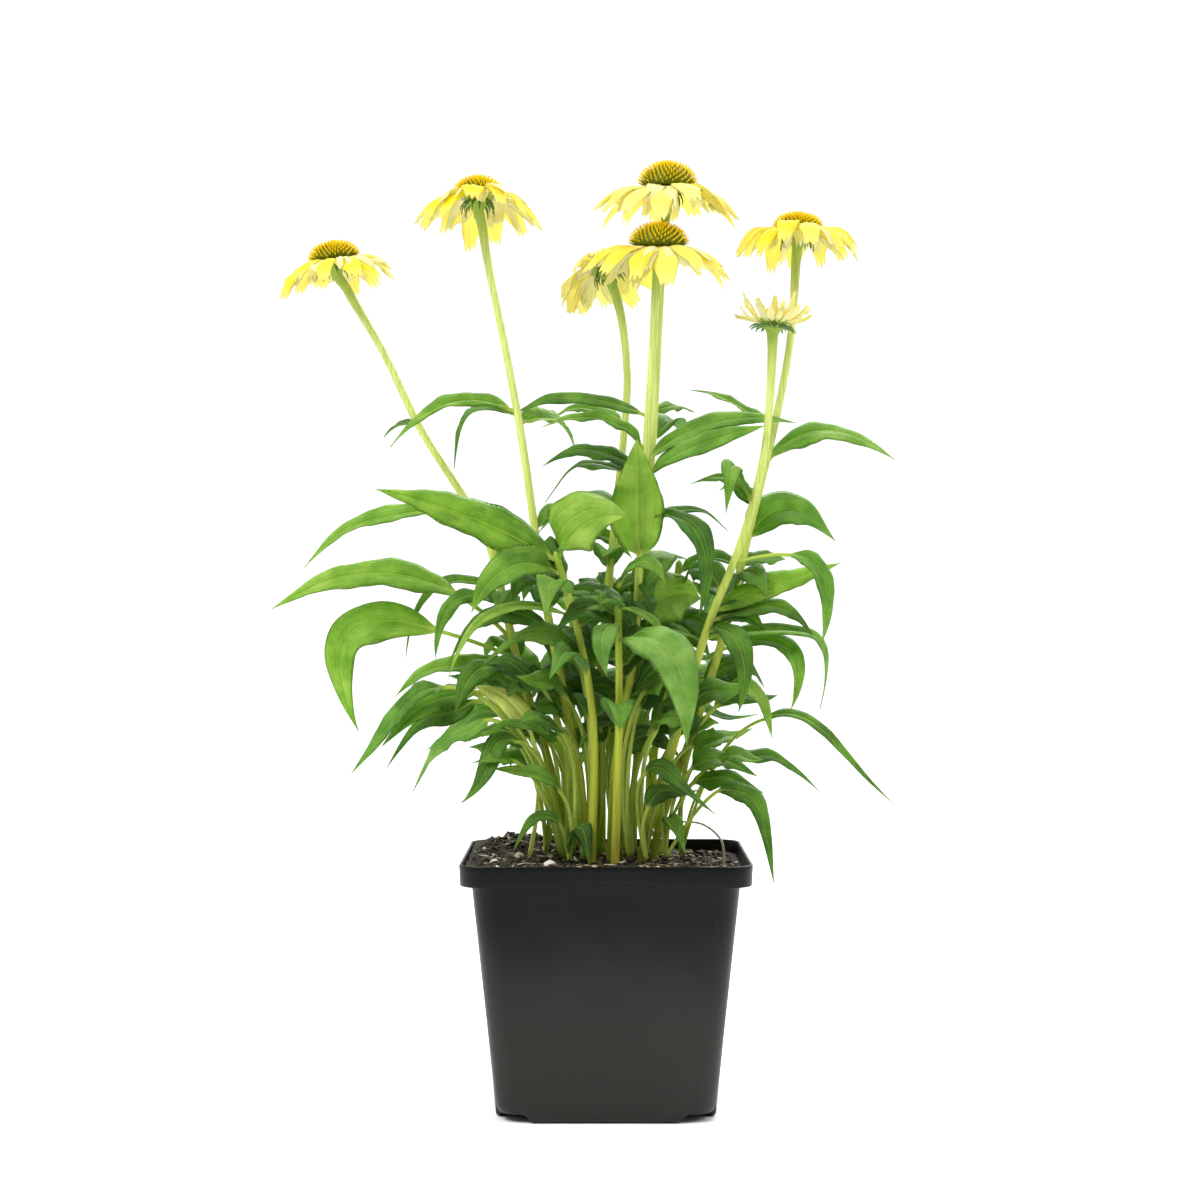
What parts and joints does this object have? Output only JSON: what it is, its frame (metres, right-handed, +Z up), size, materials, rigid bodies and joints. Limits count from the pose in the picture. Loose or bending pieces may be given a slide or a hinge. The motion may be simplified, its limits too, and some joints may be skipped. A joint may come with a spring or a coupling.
{
  "type": "yellow-flowered coneflower plant in a square nursery pot",
  "caption": "Garden perennial in leaf and flower, with yellow daisy-like heads on tall stems, growing in a square black plastic nursery pot.",
  "frame": {"origin": "middle of the flat pad under the pot, which stands on z = 0", "axes": "+Z up along the plant, +X to the right and -Y to the front"},
  "size_m": [0.3791, 0.2005, 0.5735],
  "materials": {
    "pot": "moulded black plastic with a soft sheen",
    "soil": "rough crumbly bark and peat mix",
    "stem": "finely hairy pale green stem",
    "leaf": "satin green leaf with pale veins",
    "petal": "velvety yellow petal with fine ribs",
    "cone": "stiff golden spines over green",
    "old_leaf": "limp yellowed leaf",
    "straw": "dry pale stalk"
  },
  "bodies": {
    "root": {"pot": "pot", "soil": "soil", "flower_stem_1": "stem", "flower_stem_2": "stem", "flower_stem_3": "stem", "flower_stem_4": "stem", "flower_stem_5": "stem", "flower_stem_6": "stem", "flower_stem_7": "stem", "bloom_1_rays": "petal", "bloom_1_cone": "cone", "bloom_2_rays": "petal", "bloom_2_cone": "cone", "bloom_3_rays": "petal", "bloom_3_cone": "cone", "bloom_4_rays": "petal", "bloom_4_cone": "cone", "bloom_5_rays": "petal", "bloom_5_cone": "cone", "bloom_6_rays": "petal", "bloom_6_cone": "cone", "bloom_7_rays": "petal", "bloom_7_cone": "cone", "leafy_shoot_1": "leaf", "leafy_shoot_2": "leaf", "leafy_shoot_3": "leaf", "leafy_shoot_4": "leaf", "basal_tuft_1": "leaf", "basal_tuft_2": "leaf", "basal_tuft_3": "leaf", "basal_tuft_4": "leaf", "basal_tuft_5": "leaf", "basal_tuft_6": "leaf", "basal_tuft_7": "leaf", "basal_tuft_8": "leaf", "basal_tuft_9": "leaf", "basal_tuft_10": "leaf", "basal_tuft_11": "leaf", "basal_tuft_12": "leaf", "basal_tuft_13": "leaf", "yellowed_leaf": "old_leaf", "dead_stalk": "straw"}
  },
  "joints": []
}
